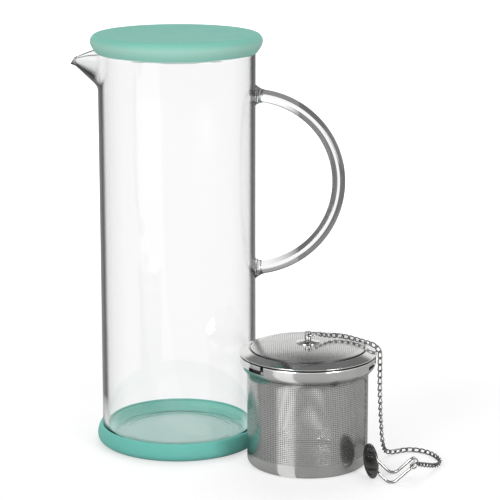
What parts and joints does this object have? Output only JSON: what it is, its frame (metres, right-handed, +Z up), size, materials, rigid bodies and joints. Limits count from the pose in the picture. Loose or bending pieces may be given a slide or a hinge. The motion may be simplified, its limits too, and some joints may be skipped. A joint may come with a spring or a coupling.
{
  "type": "fruit infuser pitcher",
  "caption": "Glass jug with a pulled spout and rod handle in a silicone boot, with its lid, and a perforated steel infuser basket with bayonet lid, chain and rim hook.",
  "frame": {"origin": "middle of the boot's underside, on the jug's axis", "axes": "+Z up, handle towards +X, spout towards -X, the basket stands towards +X and -Y"},
  "size_m": [0.2354, 0.1487, 0.267],
  "materials": {
    "boot": "smooth matte silicone, teal",
    "glass": "clear borosilicate glass, fire polished",
    "cap": "soft matte plastic, teal",
    "seal": "pale translucent silicone",
    "steel": "polished stainless steel",
    "perforated_steel": "finely perforated polished stainless sheet"
  },
  "bodies": {
    "boot": {"base_boot": "boot"},
    "jug": {"jug_glass": "glass", "jug_handle": "glass"},
    "jug_lid": {"lid_cap": "cap", "lid_seal": "seal"},
    "basket": {"basket_pan": "steel", "basket_wall": "perforated_steel", "basket_collar": "steel"},
    "chain_eye": {"finial_post": "steel", "post_ring": "steel", "chain_lid": "steel"},
    "infuser_lid": {"lid_flange": "steel", "bayonet_studs": "steel", "lid_dome": "perforated_steel", "finial_washer": "steel", "finial_rivet": "steel"},
    "chain_hang": {"chain_drop": "steel"},
    "chain_tail": {"chain_floor": "steel", "hook_ring": "steel"},
    "hook": {"hook_wire": "steel", "hook_tag": "steel"}
  },
  "joints": [
    {"name": "jug_lift", "type": "slide", "parent": "boot", "child": "jug", "axis": [0, 0, 1], "range_m": [0, 0.04]},
    {"name": "lid_lift", "type": "slide", "parent": "jug", "child": "jug_lid", "axis": [0, 0, 1], "range_m": [0, 0.06]},
    {"name": "basket_slide", "type": "slide", "parent": "boot", "child": "basket", "axis": [0.8704, -0.4924, 0], "range_m": [0, 0.08]},
    {"name": "infuser_lid_lift", "type": "slide", "parent": "basket", "child": "chain_eye", "axis": [0, 0, 1], "range_m": [0, 0.035]},
    {"name": "infuser_lid_twist", "type": "hinge", "parent": "chain_eye", "child": "infuser_lid", "pos_m": [0.08286, -0.04688, 0.08], "axis": [0, 0, 1], "range_deg": [-15, 0]},
    {"name": "chain_swing", "type": "hinge", "parent": "chain_eye", "child": "chain_hang", "pos_m": [0.12819, -0.04688, 0.07172], "axis": [0, -1, 0], "range_deg": [0, 35]},
    {"name": "chain_bend", "type": "hinge", "parent": "chain_hang", "child": "chain_tail", "pos_m": [0.13063, -0.04688, 0.01302], "axis": [0, -1, 0], "range_deg": [-35, 0]},
    {"name": "hook_swing", "type": "hinge", "parent": "chain_tail", "child": "hook", "pos_m": [0.14715, -0.08801, 0.01192], "axis": [0.1219, 0.9925, 0], "range_deg": [0, 60]}
  ],
  "couplings": [
    {"joint": "chain_bend", "follows": "chain_swing", "ratio": -1}
  ]
}
